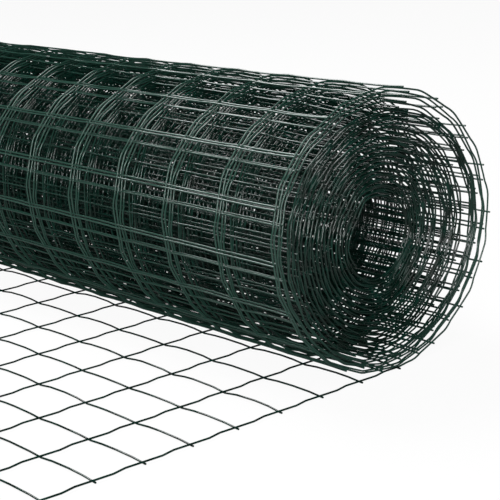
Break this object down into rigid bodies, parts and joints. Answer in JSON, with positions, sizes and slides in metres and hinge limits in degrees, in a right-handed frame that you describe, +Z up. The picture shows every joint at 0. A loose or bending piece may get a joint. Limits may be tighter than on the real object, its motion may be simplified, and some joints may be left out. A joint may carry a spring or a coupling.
{
  "type": "roll of wire fencing",
  "caption": "Roll of green coated welded wire mesh lying on its side, with an open bore and its loose end run out flat on the floor.",
  "frame": {"origin": "middle of the bounding box at floor level", "axes": "+X along the sheet's length from the loose end towards the roll, +Y along the roll's axis, +Z up"},
  "size_m": [0.627, 0.9152, 0.273],
  "materials": {
    "coated_wire": "satin green plastic coating on steel wire"
  },
  "bodies": {
    "root": {"roll": "coated_wire", "loose_end": "coated_wire"}
  },
  "joints": []
}
